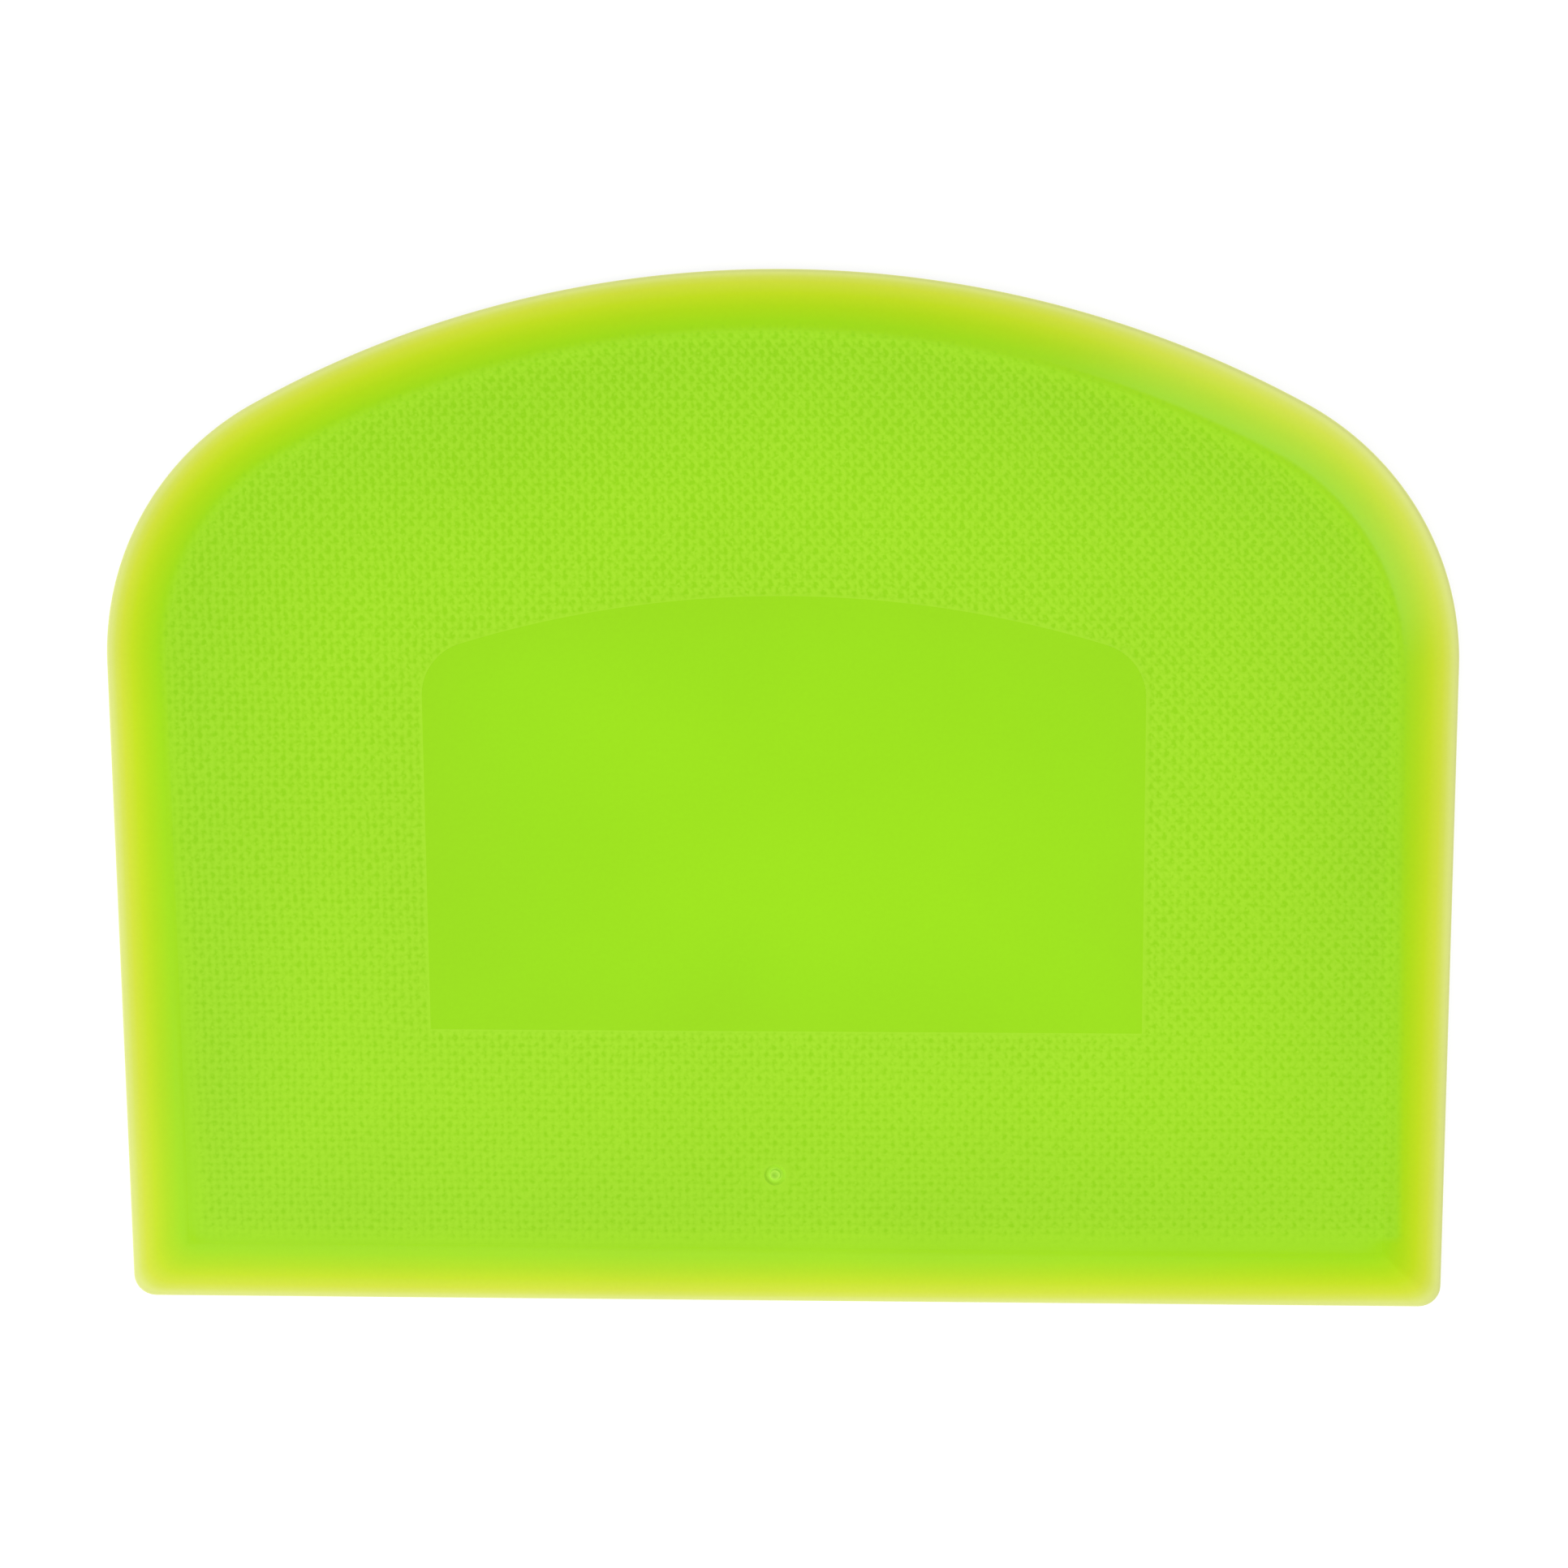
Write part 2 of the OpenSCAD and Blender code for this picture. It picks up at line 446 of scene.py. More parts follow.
x, y, faces = trimmed_grid(back_depth)
z = relief(x, y) * strength(x, y)
on_bevel = np.abs(back_depth(x, y)) < ON_EDGE
points, parts = closed_slab(x, y, z, faces, [(0, 0, on_bevel, mid_z)])
x, y = points[:, 0], points[:, 1]
grip_back = new_piece("grip_back", points, [part[:, ::-1] for part in parts], inset=thin_depth(x, y),
                      mask=mask_depth(x, y), strength=strength(x, y))
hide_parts("grip_plate")
report(grip_back)

# %% [markdown]
# ## The section through the edge
# A scraper works because its edge is thin enough to bend into a bowl. The section has a round nose, a
# straight bevel and a soft turn into the flat. The bevel's slope is the one at which the straight part
# touches both. It depends on itself through the nose, so a few passes of the same sum settle it.

# %% Half of the section's thickness
NOSE_R = EDGE_T / 2
SOFT_TURN = 0.8 * MM
SLOPE_PASSES = 8
bevel_slope = 0.0
for _ in range(SLOPE_PASSES):
    bevel_slope = (mid_z - NOSE_R * np.hypot(1, bevel_slope)) / (bevel_w - NOSE_R - SOFT_TURN / 2)
nose_end = NOSE_R * (1 - np.sin(np.arctan(bevel_slope)))


def half_thickness(inset):
    """Height of the face above the middle of the plate at a distance in from the edge: a circle for the
    nose, the tangent line for the bevel, and a parabola that levels out at the flat."""
    nose = np.sqrt(np.maximum(NOSE_R ** 2 - (NOSE_R - np.clip(inset, 0, NOSE_R)) ** 2, 0))
    bevel = bevel_slope * (inset - NOSE_R) + NOSE_R * np.hypot(1, bevel_slope)
    turn = mid_z - bevel_slope * np.maximum(bevel_w - inset, 0) ** 2 / (2 * SOFT_TURN)
    return np.where(inset < nose_end, nose, np.where(inset < bevel_w - SOFT_TURN, bevel, turn))


NOSE_STEPS, BEVEL_STEPS, TURN_STEPS = 7, 12, 8
nose_angles = np.linspace(0, np.pi / 2 - np.arctan(bevel_slope), NOSE_STEPS)
insets = np.concatenate([NOSE_R * (1 - np.cos(nose_angles)),
                         np.linspace(nose_end, bevel_w - SOFT_TURN, BEVEL_STEPS + 1)[1:],
                         np.linspace(bevel_w - SOFT_TURN, bevel_w, TURN_STEPS + 1)[1:]])
print(f"bevel slope {np.degrees(np.arctan(bevel_slope)):.1f} degrees, {len(insets)} points across it")

# %% [markdown]
# ## The bevelled edges
# Each stretch of edge is its own piece: the dome, two shoulders, two sides and the straight blade. All of
# them are one surface: two paths, the outline and the inner end of the bevel, with the section stretched
# between them. The height at every point comes from its true distance to the outline, so neighbours meet
# without a step.

# %% Stretch the section between two paths
def edge_depth(x, y):
    """Distance in from the plate's outline, with its rounded bottom corners."""
    corner_x, corner_y = half_w - CORNER_R, CORNER_R - half_h
    past_x, past_y = np.abs(x) - corner_x, corner_y - y
    rounded = CORNER_R - np.hypot(past_x, past_y)
    return np.where((past_x > 0) & (past_y > 0), rounded, depth_inside(outline, x, y))


def ring_faces(index):
    """Faces between neighbouring rows of point numbers, where each row goes round and closes on itself."""
    here, there = index[:-1], index[1:]
    after_here, after_there = np.roll(here, -1, axis=1), np.roll(there, -1, axis=1)
    return np.stack([here, after_here, after_there, there], axis=-1).reshape(-1, 4)


def bevelled_edge(name, outer, inner):
    """outer and inner are paths of as many points, anticlockwise round the plate. The section runs from the
    inner path over the top face to the nose and back under, and a cap closes each end."""
    share = np.concatenate([insets[::-1], insets[1:]]) / bevel_w
    face = np.concatenate([np.ones(len(insets)), -np.ones(len(insets) - 1)])
    flat_points = outer[:, None] + (inner - outer)[:, None] * share[:, None]
    x, y = flat_points[..., 0], flat_points[..., 1]
    z = mid_z + face * half_thickness(edge_depth(x, y))
    index = np.arange(x.size).reshape(x.shape)
    points = np.stack([x, y, z], axis=-1).reshape(-1, 3)
    x, y = x.ravel(), y.ravel()
    piece = new_piece(name, points, [ring_faces(index), index[:1, ::-1], index[-1:]], weld=True,
                      inset=thin_depth(x, y), mask=mask_depth(x, y), strength=strength(x, y))
    report(piece)
    return piece


# %% [markdown]
# ## Dome and shoulders
# The dome scrapes the sides of wide bowls, and the two shoulders scrape tighter curves. Their paths are true
# arcs round the outline's own centres, so they meet along the line through both centres and need no joining
# curve.

# %% The dome and the shoulders
PATH_STEP = 0.5 * MM


def arc(centre_x, centre_y, radius, start, end):
    """Points of an arc from angle start to angle end, a path step apart, as (outer path, inner path)."""
    count = int(np.ceil(abs(end - start) * radius / PATH_STEP)) + 1
    angle = np.linspace(start, end, count)
    out = np.stack([np.cos(angle), np.sin(angle)], axis=1)
    centre = np.array([centre_x, centre_y])
    return centre + radius * out, centre + (radius - bevel_w) * out


join_angle = np.pi / 2 - outline.lean
dome_paths = arc(0, outline.dome_y, DOME_R, join_angle, np.pi - join_angle)
right_paths = arc(outline.shoulder_x, outline.shoulder_y, SHOULDER_R, 0, join_angle)
left_paths = arc(-outline.shoulder_x, outline.shoulder_y, SHOULDER_R, np.pi - join_angle, np.pi)
dome = bevelled_edge("dome_edge", *dome_paths)
right_turn = bevelled_edge("right_shoulder_edge", *right_paths)
left_turn = bevelled_edge("left_shoulder_edge", *left_paths)
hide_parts("dome_blade")
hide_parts("right_shoulder")
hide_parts("left_shoulder")

# %% [markdown]
# ## The straight sides
# Below the shoulders the two sides are straight and parallel. Two points would do for a straight path. It is
# stepped like the arcs all the same, so that the colours, which are carried from point to point, stay as
# fine.

# %% The straight sides
def line(start, end):
    """Points from start to end, about a path step apart."""
    start, end = np.array(start), np.array(end)
    count = int(np.ceil(np.linalg.norm(end - start) / PATH_STEP)) + 1
    return start + (end - start) * np.linspace(0, 1, count)[:, None]


blade_top = bevel_w - half_h
right_path = line((half_w, blade_top), (half_w, outline.shoulder_y))
left_path = line((-half_w, outline.shoulder_y), (-half_w, blade_top))
right_side = bevelled_edge("right_side_edge", right_path, right_path - [bevel_w, 0])
left_side = bevelled_edge("left_side_edge", left_path, left_path + [bevel_w, 0])
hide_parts("right_edge")
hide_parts("left_edge")

# %% [markdown]
# ## The straight blade
# The bottom edge turns up into the sides through two small round corners. The bevel is wider than those
# corners, so offsetting the path would fold it over itself. Every point of the corner and of the short side
# above it is joined to the one inner corner instead, like the ribs of a fan, and the fan's points are welded
# there.

# %% The straight blade and its corners
inner_x = half_w - bevel_w
corner, _ = arc(half_w - CORNER_R, CORNER_R - half_h, CORNER_R, -np.pi / 2, 0)
right_end = np.concatenate([line((inner_x, -half_h), (half_w - CORNER_R, -half_h))[1:], corner[1:],
                            line((half_w, CORNER_R - half_h), (half_w, blade_top))[1:]])
left_end = right_end[::-1] * [-1, 1]
blade_path = np.concatenate([left_end, line((-inner_x, -half_h), (inner_x, -half_h)), right_end])
blade_inner = np.stack([np.clip(blade_path[:, 0], -inner_x, inner_x),
                        np.full(len(blade_path), blade_top)], axis=1)
blade = bevelled_edge("straight_blade_edge", blade_path, blade_inner)
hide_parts("straight_blade")

# %% [markdown]
# ## The smooth panel
# On the real scraper this is where the mould wasn't textured. Rings that shrink towards the middle make its
# face, which lets it hollow very slightly, as thick plastic does when it cools. It is left bare.

# %% Build the smooth panel
PANEL_HOLLOW = 0.02 * MM
PANEL_RINGS = 12


def dome_path(d):
    """Points round D d, anticlockwise from its bottom left corner."""
    join = np.pi / 2 - d.lean
    right, _ = arc(d.x + d.shoulder_x, d.shoulder_y, d.shoulder_r, 0, join)
    top, _ = arc(d.x, d.dome_y, d.dome_r, join, np.pi - join)
    left, _ = arc(d.x - d.shoulder_x, d.shoulder_y, d.shoulder_r, np.pi - join, np.pi)
    return np.concatenate([line((d.x - d.half, d.base), (d.x + d.half, d.base))[:-1],
                           line((d.x + d.half, d.base), (d.x + d.half, d.shoulder_y))[:-1],
                           right[:-1], top[:-1], left[:-1],
                           line((d.x - d.half, d.shoulder_y), (d.x - d.half, d.base))[:-1]])


def lidded_rings(path, centre, rings, height, floor_z):
    """Rings of the path shrunk evenly to the centre, with the last at a single welded point, at a height
    that depends on the share of the way in. A wall and a flat floor close it below. The share at each point
    is returned as well."""
    share = np.linspace(0, 1, rings + 1)
    flat_points = path + (centre - path) * share[:, None, None]
    heights = np.broadcast_to(height(share)[:, None, None], (rings + 1, len(path), 1))
    top = np.concatenate([flat_points, heights], axis=2)
    below = np.concatenate([path, np.full((len(path), 1), floor_z)], axis=1)
    points = np.concatenate([below[None], top]).reshape(-1, 3)
    index = np.arange(len(points)).reshape(-1, len(path))
    return points, [ring_faces(index), index[:1, ::-1]], np.repeat(np.append(0, share), len(path))


def panel_height(share):
    """Flat at the edge, and lower by the hollow at the middle, along a smooth S."""
    return plate_t - PANEL_HOLLOW * fade(share, 1)


panel_middle = np.array([panel.x, panel_middle_y])
points, parts, share = lidded_rings(dome_path(panel), panel_middle, PANEL_RINGS, panel_height, seat_z)
smooth_face = new_piece("smooth_panel_face", points, parts, weld=True, share=share)
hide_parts("smooth_panel")
report(smooth_face)

# %% [markdown]
# ## The gate mark
# Plastic enters the mould through a small gate, and when the moulding is pulled off a stub is left in a
# shallow dish, with a torn crater in its end. It is a profile turned about the gate's own axis.

# %% Turn the gate mark
DISH_R = 1 * MM
DISH_FLOOR_R = 0.8 * MM
DISH_DEPTH = 0.15 * MM
STUB_R = 0.5 * MM
STUB_LIP = 0.06 * MM
CRATER_R = 0.25 * MM
CRATER_FLOOR_R = 0.125 * MM
CRATER_DEPTH = 0.08 * MM
GATE_SIDES = 40
dish_z = plate_t - DISH_DEPTH
gate_profile = np.array([
    [0, seat_z], [GATE_R, seat_z], [GATE_R, plate_t], [DISH_R, plate_t], [DISH_FLOOR_R, dish_z],
    [STUB_R + STUB_LIP, dish_z], [STUB_R, dish_z + STUB_LIP], [STUB_R, plate_t - STUB_LIP],
    [STUB_R - STUB_LIP, plate_t], [CRATER_R, plate_t], [CRATER_FLOOR_R, plate_t - CRATER_DEPTH],
    [0, plate_t - CRATER_DEPTH]])
radius, height = gate_profile.T
turn = np.linspace(0, 2 * np.pi, GATE_SIDES, endpoint=False)[:, None]
gate_points = np.stack([gate_x + radius * np.cos(turn), gate_y + radius * np.sin(turn),
                        np.broadcast_to(height, (GATE_SIDES, len(height)))], axis=-1).reshape(-1, 3)
here = np.arange(len(gate_points)).reshape(GATE_SIDES, -1)
there = np.roll(here, -1, axis=0)
gate_quads = np.stack([here[:, :-1], there[:, :-1], there[:, 1:], here[:, 1:]], axis=-1).reshape(-1, 4)
gate_mark = new_piece("gate_mark", gate_points, [gate_quads], weld=True,
                      reach=np.tile(radius / GATE_R, GATE_SIDES))
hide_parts("gate_stub")
report(gate_mark)

# %% [markdown]
# ## Writing shaders as code
# The colours and finishes are nodes. By hand each one would be placed and wired in the shader editor. In a
# script a few helpers make them short to write: one adds a node and fills its sockets, one does arithmetic,
# one makes noise.

# %% Shader helpers
def linear(red, green, blue):
    """A colour written as it looks on screen, from 0 to 255, in the linear values that shaders use: the
    standard curve of screens, undone."""
    c = np.array([red, green, blue]) / 255
    return (*np.where(c <= 0.04045, c / 12.92, ((c + 0.055) / 1.055) ** 2.4), 1.0)


def add(tree, kind, inputs=(), **settings):
    """A node of that kind. inputs are pairs of a socket and the value or the other node's output that it
    takes."""
    node = tree.nodes.new(kind)
    for key, value in settings.items():
        setattr(node, key, value)
    for socket, value in inputs:
        if isinstance(value, bpy.types.NodeSocket):
            tree.links.new(value, node.inputs[socket])
        else:
            node.inputs[socket].default_value = value
    return node


def math(tree, operation, *values):
    """Output of a Math node for one to three values."""
    return add(tree, "ShaderNodeMath", list(enumerate(values)), operation=operation).outputs[0]


def noise(tree, place, scale, detail=1.0):
    """A noise texture at that place. Its Fac output is 0.5 on average."""
    return add(tree, "ShaderNodeTexNoise", [("Vector", place), ("Scale", scale), ("Detail", detail)])


def carried(tree, name):
    """Value of a number that the mesh carries at each point."""
    return add(tree, "ShaderNodeAttribute", attribute_name=name).outputs["Fac"]


# %% [markdown]
# ## The plastic
# The scraper is one translucent plastic, which looks different in each zone. Where it is thick it is a
# saturated lime, and where it thins towards the edge less light is absorbed and it turns yellow and then
# pale. True absorption would need a white page behind it, so the colour is given for each thickness instead.
# The finishes share one shader with a weak, broad reflection.

# %% One plastic for every zone
SATIN = 0.4
GLOSSY = 0.2
REFLECTION = 0.15
NOISE_LOW, NOISE_HIGH = 0.3, 0.7
FLOW_SCALE = 45
FLOW_SHADE = 0.015
FLOW_POLISH = 0.03
GRAIN_SCALE = 2600
GRAIN_SHADE = 0.01
GRAIN_DEPTH = 0.004 * MM
GRAIN_STRENGTH = 0.5


def around(tree, texture, middle, spread):
    """The usual range of a noise, mapped from the middle less the spread to the middle plus the spread."""
    return add(tree, "ShaderNodeMapRange", [
        ("Value", texture.outputs["Fac"]), ("From Min", NOISE_LOW), ("From Max", NOISE_HIGH),
        ("To Min", middle - spread), ("To Max", middle + spread)]).outputs["Result"]


def plastic(name, colour_of, roughness=SATIN, glow_of=None):
    """The shared plastic. colour_of makes the colour from the tree and the place on the object, and faint
    flow marks and a fine grain are laid over it. glow_of makes the strength of the light that leaves it from
    inside."""
    material = bpy.data.materials.new(name)
    material.use_nodes = True
    tree = material.node_tree
    tree.nodes.clear()
    place = add(tree, "ShaderNodeTexCoord").outputs["Object"]
    flow = noise(tree, place, FLOW_SCALE, detail=2.0)
    grain = noise(tree, place, GRAIN_SCALE, detail=3.0)
    shade = math(tree, "MULTIPLY", around(tree, flow, 1, FLOW_SHADE), around(tree, grain, 1, GRAIN_SHADE))
    tint = add(tree, "ShaderNodeVectorMath", [(0, colour_of(tree, place)), ("Scale", shade)],
               operation="SCALE").outputs["Vector"]
    bump = add(tree, "ShaderNodeBump", [("Height", grain.outputs["Fac"]), ("Distance", GRAIN_DEPTH),
                                        ("Strength", GRAIN_STRENGTH)])
    shader = add(tree, "ShaderNodeBsdfPrincipled", [
        ("Base Color", tint), ("Roughness", around(tree, flow, roughness, FLOW_POLISH)),
        ("Specular IOR Level", REFLECTION), ("Normal", bump.outputs["Normal"])])
    if glow_of:
        tree.links.new(tint, shader.inputs["Emission Color"])
        tree.links.new(glow_of(tree), shader.inputs["Emission Strength"])
    add(tree, "ShaderNodeOutputMaterial", [("Surface", shader.outputs["BSDF"])])
    return material


# %% [markdown]
# ## Thick and thin
# The bevels and the grip faces share one colour, so that no seam shows where they meet. Each point carries
# its distance in from the outline, and a ramp turns that into the colour of plastic of that thickness. Past
# the border of the dimples a second ramp takes over, over the distance from that border. A painted picture
# would need unwrapping and would blur at the edge.

# %% Colours by distance
THIN_COLOURS = [(0.0, linear(224, 230, 145)), (0.35, linear(226, 235, 127)), (0.7, linear(219, 231, 89)),
                (1.2, linear(215, 230, 57)), (2.2, linear(200, 229, 22)), (3.3, linear(182, 227, 7)),
                (4.6, linear(166, 227, 9)), (5.1, linear(165, 227, 14)), (5.6, linear(165, 228, 29)),
                (6.2, linear(166, 229, 35))]
# The grip is a little brighter right by the border of the dimples: painted light, scattered in from the bevel
GRIP_COLOURS = [(0.0, linear(168, 230, 36)), (1.5, linear(167, 228, 39)), (3.5, linear(166, 228, 40)),
                (14.5, linear(170, 232, 40))]
GRIP_REACH = 14.5 * MM


def ramp_over(tree, value, stops):
    """Colour of a ramp at value. stops are pairs of a place from 0 to 1 and a colour."""
    ramp = add(tree, "ShaderNodeValToRGB", [("Fac", value)])
    marks = ramp.color_ramp.elements
    while len(marks) < len(stops):
        # Any place does for a new mark, because all of them are placed below
        marks.new(0.5)
    for mark, (place, colour) in zip(marks, stops):
        mark.position, mark.color = place, colour
    return ramp.outputs["Color"]


def ramp_by_distance(tree, distance, reach, stops):
    """Colour of a ramp over a distance in metres from 0 to reach. The places of the stops are in
    millimetres."""
    return ramp_over(tree, math(tree, "DIVIDE", distance, reach),
                     [(place * MM / reach, colour) for place, colour in stops])


# %% [markdown]
# ## Painted shade in the pits
# The pits are painted darker and deeper in colour, as shade in the hollows, where light that enters leaves
# less easily. The material works out the same waves as the mesh, so the dark spots sit in the pits, and the
# waves of half the pitch paint a lit side and a shaded side on each. One noise shifts them by a few
# hundredths of a millimetre and another makes some deeper, as in a mould that was etched by hand.

# %% Painted shade of the dimples
WHITE = (1, 1, 1, 1)
# Colour of the painted shade at the bottom of a pit
PIT_SHADE = (0.8, 0.9, 0.25, 1)
UNEVEN_SCALE = 3200
UNEVEN = 4.2
DRIFT_SCALE = 200
DRIFT = 0.5 * MM


def pits(tree, place):
    """Painted shade of the dimples: the dimple formula at the drifted place, times its strength and a noise
    with a mean of 1, from white to the colour of the pit shade."""
    drifts = noise(tree, place, DRIFT_SCALE).outputs["Color"]
    drifted = add(tree, "ShaderNodeVectorMath", [(0, drifts), (1, (DRIFT, DRIFT, 0)), (2, place)],
                  operation="MULTIPLY_ADD")
    axis = add(tree, "ShaderNodeSeparateXYZ", [("Vector", drifted.outputs["Vector"])]).outputs
    depth = DIMPLE_MEAN
    for weight, rightwards, upwards, m, n, phase in DIMPLE_WAVES:
        turn_x, turn_y = 2 * np.pi * m / DIMPLE_PITCH_X, 2 * np.pi * n / DIMPLE_PITCH_Y
        # The noise is 0.5 on average, so half the drift is taken back here
        start = np.radians(phase) - (turn_x + turn_y) * DRIFT / 2
        angle = math(tree, "MULTIPLY_ADD", axis["Y"], turn_y, start)
        angle = math(tree, "MULTIPLY_ADD", axis["X"], turn_x, angle)
        share = math(tree, "MULTIPLY_ADD", axis["Y"], weight * upwards / half_h, weight)
        share = math(tree, "MULTIPLY_ADD", axis["X"], weight * rightwards / half_w, share)
        depth = math(tree, "MULTIPLY_ADD", math(tree, "COSINE", angle), share, depth)
    uneven = noise(tree, place, UNEVEN_SCALE).outputs["Fac"]
    uneven = math(tree, "MULTIPLY_ADD", uneven, UNEVEN, 1 - UNEVEN / 2)
    depth = math(tree, "MULTIPLY", depth, math(tree, "MULTIPLY", carried(tree, "strength"), uneven))
    return ramp_over(tree, depth, [(0, WHITE), (1, PIT_SHADE)])


# %% [markdown]
# ## The glowing nose
# Light that is guided through the plate leaves it at the nose of the edge, as in any clear or tinted
# plastic. True translucency would need many bounces of light to show that. A little light of its own there
# gives the same pale line at once.

# %% Glow of the nose
EDGE_GLOW = 0.6


def edge_glow(tree):
    """Strength of the glow, which is greatest where the surface faces sideways: the glow's strength times 1
    less the size of the normal's upward part."""
    normal = add(tree, "ShaderNodeNewGeometry").outputs["Normal"]
    upward = add(tree, "ShaderNodeSeparateXYZ", [("Vector", normal)]).outputs["Z"]
    return math(tree, "MULTIPLY_ADD", math(tree, "ABSOLUTE", upward), -EDGE_GLOW, EDGE_GLOW)


# %% [markdown]
# ## Satin grip, glossy bevels
# The grip faces are satin from the mould's texture, and the bevels are glossier. Two colours that have to
# match would be hard to keep equal, so one colour function serves both, and only the roughness and the glow
# differ.

# %% Finish of the grip faces and the bevels
# Painted light: the grip's colour is scaled up from the middle towards the dome
TOP_PAINTED_LIGHT = 1.035
COLOUR_STEP = 0.5 * MM


def plate_colour(tree, place):
    """The thin plastic's colour outside the border of the dimples and the grip's inside it, with the painted
    shade of the pits. From the middle up, the grip is a little brighter towards the dome: painted light that
    makes up for the key lamp's light falling off there."""
    mask = carried(tree, "mask")
    thin = ramp_by_distance(tree, carried(tree, "inset"), THIN_REACH, THIN_COLOURS)
    grip = ramp_by_distance(tree, mask, GRIP_REACH, GRIP_COLOURS)
    height = add(tree, "ShaderNodeSeparateXYZ", [("Vector", place)]).outputs["Y"]
    brighter = add(tree, "ShaderNodeMapRange", [("Value", height), ("From Max", half_h), ("To Min", 1.0),
                                                ("To Max", TOP_PAINTED_LIGHT)]).outputs["Result"]
    grip = add(tree, "ShaderNodeVectorMath", [(0, grip), ("Scale", brighter)],
               operation="SCALE").outputs["Vector"]
    inside = add(tree, "ShaderNodeMapRange", [("Value", mask), ("From Min", -COLOUR_STEP),
                                              ("From Max", COLOUR_STEP)],
                 interpolation_type="SMOOTHSTEP").outputs["Result"]
    lime = add(tree, "ShaderNodeMixRGB", [("Fac", inside), ("Color1", thin), ("Color2", grip)])
    return add(tree, "ShaderNodeVectorMath", [(0, lime.outputs["Color"]), (1, pits(tree, place))],
               operation="MULTIPLY").outputs["Vector"]


satin_plastic = plastic("satin_plastic", plate_colour)
grip_faces = (grip_face, grip_back)
for piece in grip_faces:
    piece.data.materials.append(satin_plastic)

glossy_plastic = plastic("glossy_plastic", plate_colour, roughness=GLOSSY, glow_of=edge_glow)
bevels = (dome, right_turn, left_turn, right_side, left_side, blade)
for piece in bevels:
    piece.data.materials.append(glossy_plastic)
print(f"{len(grip_faces)} grip faces in satin plastic and {len(bevels)} bevels in glossy plastic")

# %% [markdown]
# ## Smooth plastic
# The panel shows the plastic's own colour, a little brighter towards its middle, with nothing to break it up
# but a faint cloudiness from how the plastic flowed and cooled. A soft noise that shifts the ramp gives that
# cloudiness.

# %% Finish of the smooth panel
PANEL_SATIN = 0.35
PANEL_LIMES = [(0.0, linear(159, 227, 19)), (0.25, linear(159, 230, 17)), (0.6, linear(161, 232, 16))]
CLOUD_SCALE = 60
CLOUD_WEIGHT = 0.5


def panel_colour(tree, place):
    """Limes by the share of the way in to the middle, shifted by a soft noise."""
    cloud = noise(tree, place, CLOUD_SCALE).outputs["Fac"]
    shift = math(tree, "MULTIPLY_ADD", cloud, CLOUD_WEIGHT, -CLOUD_WEIGHT / 2)
    return ramp_over(tree, math(tree, "ADD", carried(tree, "share"), shift), PANEL_LIMES)


smooth_plastic = plastic("smooth_plastic", panel_colour, roughness=PANEL_SATIN)
smooth_face.data.materials.append(smooth_plastic)

# %% [markdown]
# ## The gate mark's colours
# The stub's rim is paler than the face around it, and its crater is darker, which is painted shade in the
# hollow.
# The mark is turned about the gate's axis, so a ramp over the distance from that axis colours the crater, the
# rim and the dish in one go.

# %% Finish of the gate mark
GATE_COLOURS = [(0.0, linear(161, 219, 57)), (0.2, linear(163, 224, 61)), (0.4, linear(182, 241, 73)),
                (0.55, linear(182, 241, 67)), (0.7, linear(167, 228, 46)), (1.2, linear(167, 229, 39))]


def gate_colour(tree, place):
    """Colour for the distance from the gate's axis: palest on the torn rim of the stub, and darker in the
    crater, as painted shade.
    """
    stops = [(distance * MM / GATE_R, colour) for distance, colour in GATE_COLOURS]
    return ramp_over(tree, carried(tree, "reach"), stops)


gate_mark_plastic = plastic("gate_mark_plastic", gate_colour)
gate_mark.data.materials.append(gate_mark_plastic)

# %% [markdown]
# ## The floor
# The photograph shows no shadow on its white page. A bright matt floor would show a plain one. So the
# floor's own white is dim, which leaves the shadow very faint, and an even lift, seen only by the camera and
# in reflections, brings it up to white.

# %% The floor
FLOOR_DROP = 0.05 * MM
FLOOR_HALF = 3.0
FLOOR_WHITE = 0.25
FLOOR_LIFT = 0.84
floor_corners = [(FLOOR_HALF * across, FLOOR_HALF * up, -FLOOR_DROP)
                 for across, up in ((-1, -1), (1, -1), (1, 1), (-1, 1))]
floor_mesh = bpy.data.meshes.new("floor")
floor_mesh.from_pydata(floor_corners, [], [(0, 1, 2, 3)])
floor = bpy.data.objects.new("floor", floor_mesh)
bpy.context.scene.collection.objects.link(floor)
print(f"floor {2 * FLOOR_HALF:.0f} m wide, {FLOOR_DROP / MM:.2f} mm below the scraper")


def seen_directly(tree):
    """1 for what the camera sees, be it straight, mirrored or through glass, and 0 for what only lights a
    matt surface."""
    rays = add(tree, "ShaderNodeLightPath").outputs
    seen = math(tree, "MAXIMUM", rays["Is Camera Ray"], rays["Is Glossy Ray"])
    return math(tree, "MAXIMUM", seen, rays["Is Transmission Ray"])


floor_paint = bpy.data.materials.new("floor_paint")
floor_paint.use_nodes = True
tree = floor_paint.node_tree
tree.nodes.clear()
matt = add(tree, "ShaderNodeBsdfDiffuse", [("Color", (FLOOR_WHITE, FLOOR_WHITE, FLOOR_WHITE, 1))])
lifted = math(tree, "MULTIPLY", seen_directly(tree), FLOOR_LIFT)
lift = add(tree, "ShaderNodeEmission", [("Strength", lifted)])
both = add(tree, "ShaderNodeAddShader", [(0, matt.outputs[0]), (1, lift.outputs[0])])
add(tree, "ShaderNodeOutputMaterial", [("Surface", both.outputs[0])])
floor.data.materials.append(floor_paint)

# %% [markdown]
# ## The world
# The photograph's light comes from all round, as in a light tent. A plain white world gives that without any
# walls. It is white where it is seen or mirrored, and dimmer as a source of light, which leaves room for the
# lamps.

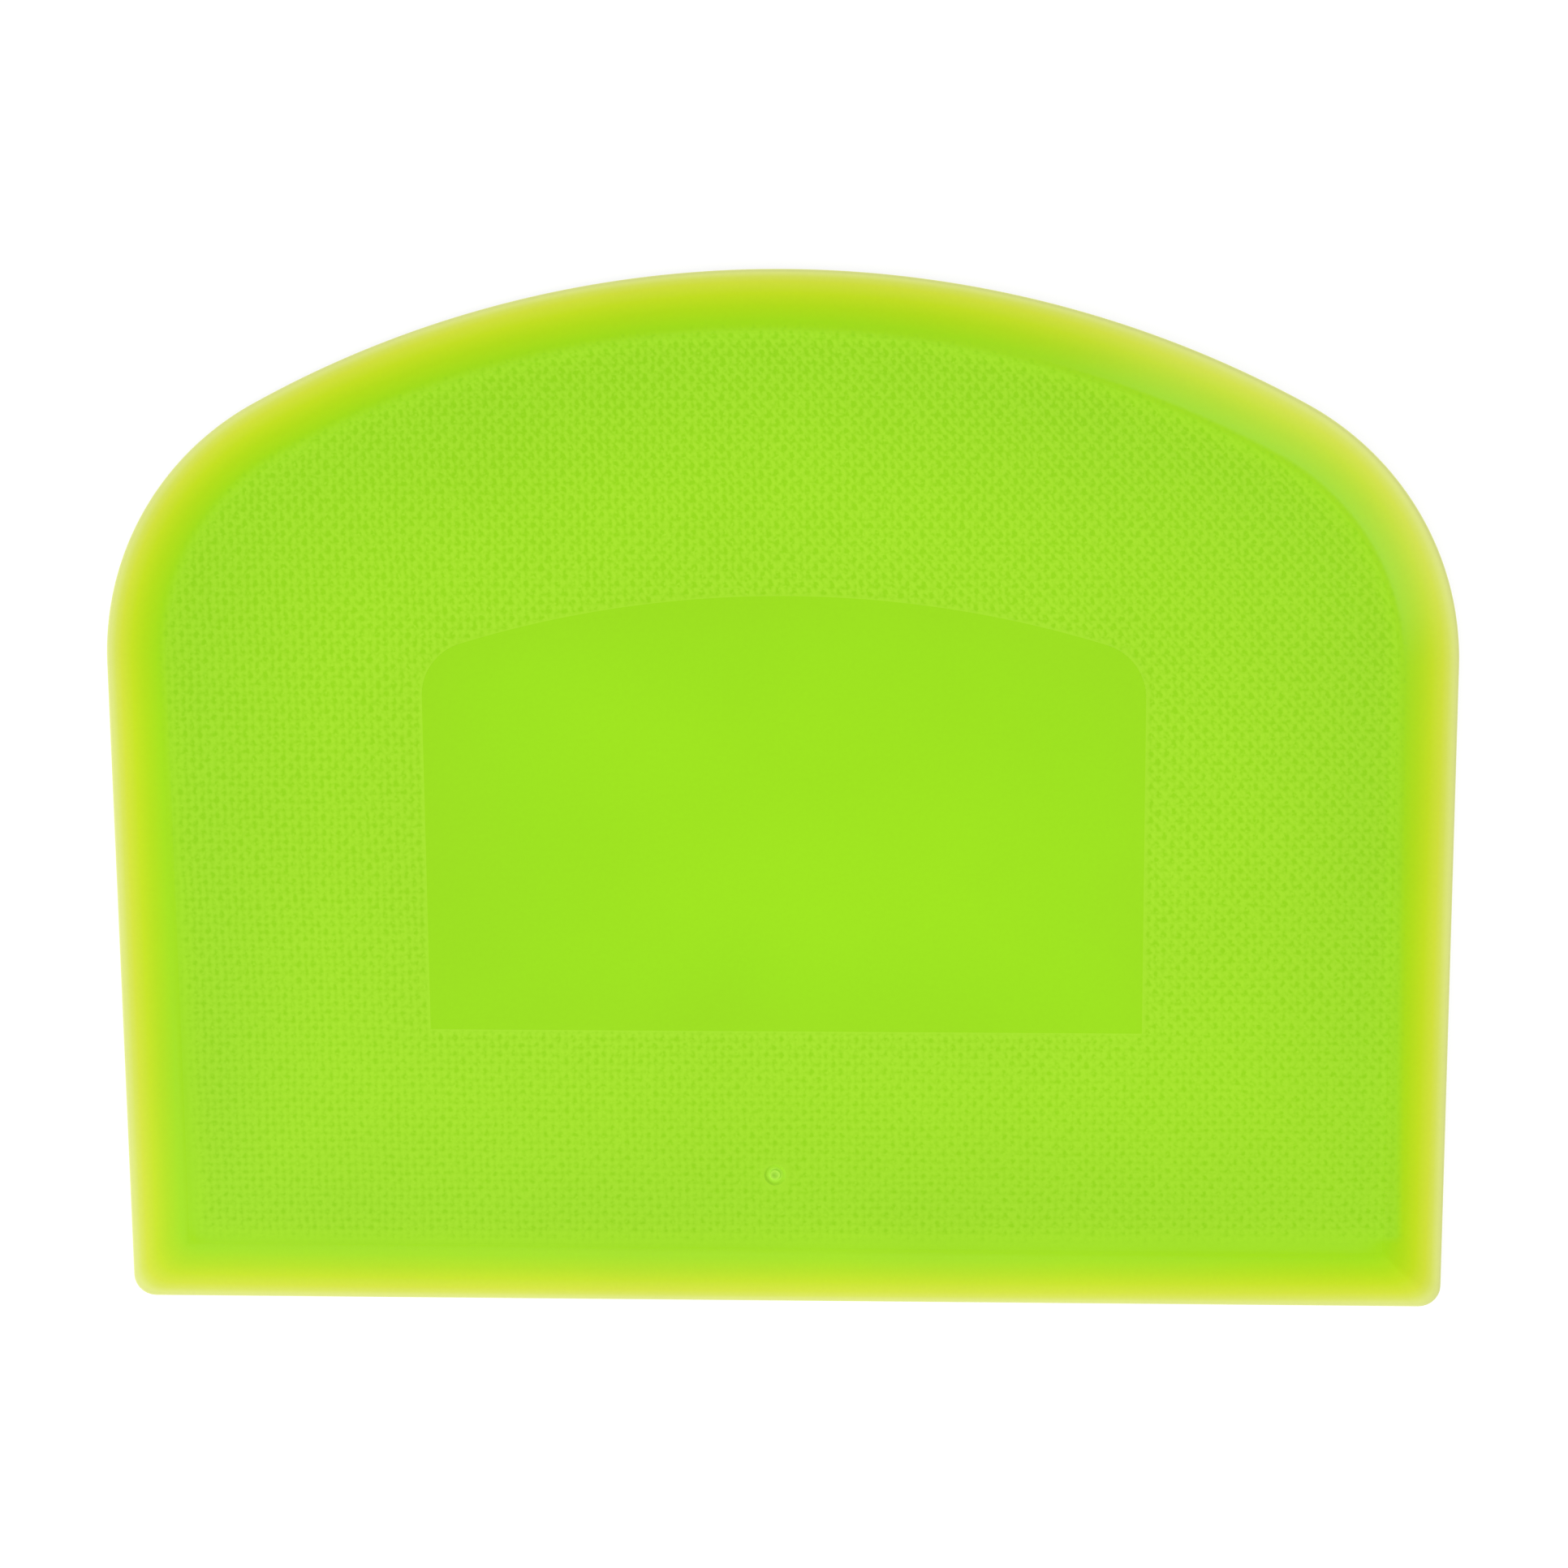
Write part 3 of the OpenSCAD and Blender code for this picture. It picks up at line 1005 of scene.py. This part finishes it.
# %% The world
WORLD_LIGHT = 0.615
world = bpy.data.worlds.new("studio")
world.use_nodes = True
bpy.context.scene.world = world
tree = world.node_tree
tree.nodes.clear()
level = add(tree, "ShaderNodeMapRange", [("Value", seen_directly(tree)), ("To Min", WORLD_LIGHT),
                                         ("To Max", 1.0)])
sky = add(tree, "ShaderNodeBackground", [("Color", WHITE), ("Strength", level.outputs["Result"])])
add(tree, "ShaderNodeOutputWorld", [("Surface", sky.outputs[0])])
print(f"the world lights with {WORLD_LIGHT:.3f} of the white that it shows")

# %% [markdown]
# ## The lamps
# The large key lamp at the lower left lights the whole scraper. The glossy bevels mirror three smaller
# lamps, a long one across the lower left and two small ones at the upper right, which make the bright
# stretches along the edge. Rectangles are used because a mirrored rectangle has plain ends, like the soft
# boxes of a studio.

# %% The lamps
def lamp(name, start, end, width, aim, brightness):
    """A rectangular lamp whose long middle line runs from start to end, in metres, and which faces aim.
    brightness is its surface's own, where 1 is white, so its power is brightness times pi times its area."""
    start, end = Vector(start), Vector(end)
    along = (end - start).normalized()
    back = (start + end) / 2 - Vector(aim)
    back = (back - back.dot(along) * along).normalized()
    data = bpy.data.lights.new(name, "AREA")
    data.shape, data.size, data.size_y = "RECTANGLE", (end - start).length, width
    data.energy = brightness * np.pi * data.size * data.size_y
    item = bpy.data.objects.new(name, data)
    bpy.context.scene.collection.objects.link(item)
    turn = Matrix((along, back.cross(along), back)).transposed()
    item.matrix_world = Matrix.Translation((start + end) / 2) @ turn.to_4x4()
    print(f"{name}: {data.energy:.1f} W")


lamp("key_lamp", start=(-0.99, 0, 0.61), end=(-0.56, -0.81, 0.61), width=0.5,
     aim=(0, 0, 0), brightness=2.5)
lamp("lower_left_lamp", start=(-0.35, -0.232, 0.5), end=(0.06, -0.475, 0.5), width=0.2,
     aim=(0, 0, 0), brightness=1.45)
lamp("upper_shoulder_lamp", start=(0.083, 0.095, 0.4), end=(0.172, 0.046, 0.4), width=0.065,
     aim=(0.04, 0.03, 0), brightness=5.2)
lamp("lower_shoulder_lamp", start=(0.176, 0.042, 0.4), end=(0.222, -0.050, 0.4), width=0.065,
     aim=(0.05, 0.02, 0), brightness=5.2)

# %% [markdown]
# ## Camera
# The photograph looks almost straight down, tilted a little from the dome's side, through a long lens. Its
# place was worked out from the outline, whose sides are parallel on the real object and converge in the
# picture.

# %% Camera
CAMERA_PLACE = Vector((17.85, 90.57, 375.5)) * MM
CAMERA_TILT = np.radians(13.376)
CAMERA_PAN = np.radians(-2.664)
CAMERA_ROLL = np.radians(0.407)
SENSOR_WIDTH_IN_MM = 36
LENS_IN_MM = 98.59
NEAREST_SEEN = 0.01
camera_data = bpy.data.cameras.new("camera")
camera_data.sensor_width = SENSOR_WIDTH_IN_MM
camera_data.lens = LENS_IN_MM
camera_data.clip_start = NEAREST_SEEN
camera = bpy.data.objects.new("camera", camera_data)
bpy.context.scene.collection.objects.link(camera)
turn = (Matrix.Rotation(CAMERA_ROLL, 3, "Z") @ Matrix.Rotation(CAMERA_TILT, 3, "X")
        @ Matrix.Rotation(CAMERA_PAN, 3, "Y")).transposed()
camera.matrix_world = Matrix.Translation(CAMERA_PLACE) @ turn.to_4x4()
bpy.context.scene.camera = camera
bpy.context.scene.view_settings.view_transform = "Standard"
print("camera at", [round(c / MM, 1) for c in camera.matrix_world.translation], "mm")
